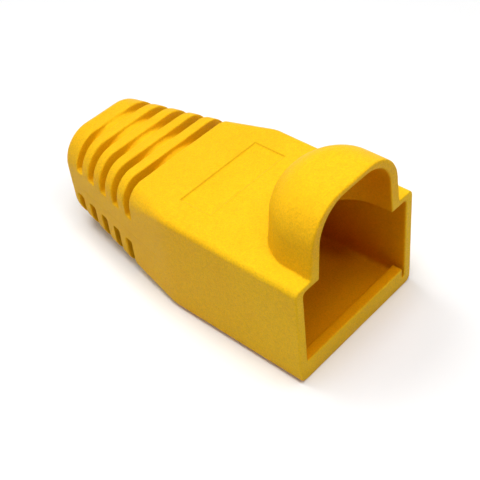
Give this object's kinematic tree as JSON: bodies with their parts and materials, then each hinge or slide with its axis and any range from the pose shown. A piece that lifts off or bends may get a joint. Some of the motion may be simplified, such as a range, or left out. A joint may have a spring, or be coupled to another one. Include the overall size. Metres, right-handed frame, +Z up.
{
  "type": "rj45 strain relief boot",
  "caption": "Hooded strain relief boot: box-shaped body for a modular plug, arched latch hood, and a slotted, ribbed tail round the cable.",
  "frame": {"origin": "middle of the bounding box, on the flat underside", "axes": "+Y from the plug mouth towards the cable end, along the boot's length; +X across the boot; +Z up from the underside to the hood"},
  "size_m": [0.0134, 0.027, 0.0148],
  "materials": {
    "boot_plastic": "soft yellow moulded plastic with a fine matte grain"
  },
  "bodies": {
    "root": {"boot": "boot_plastic"}
  },
  "joints": []
}
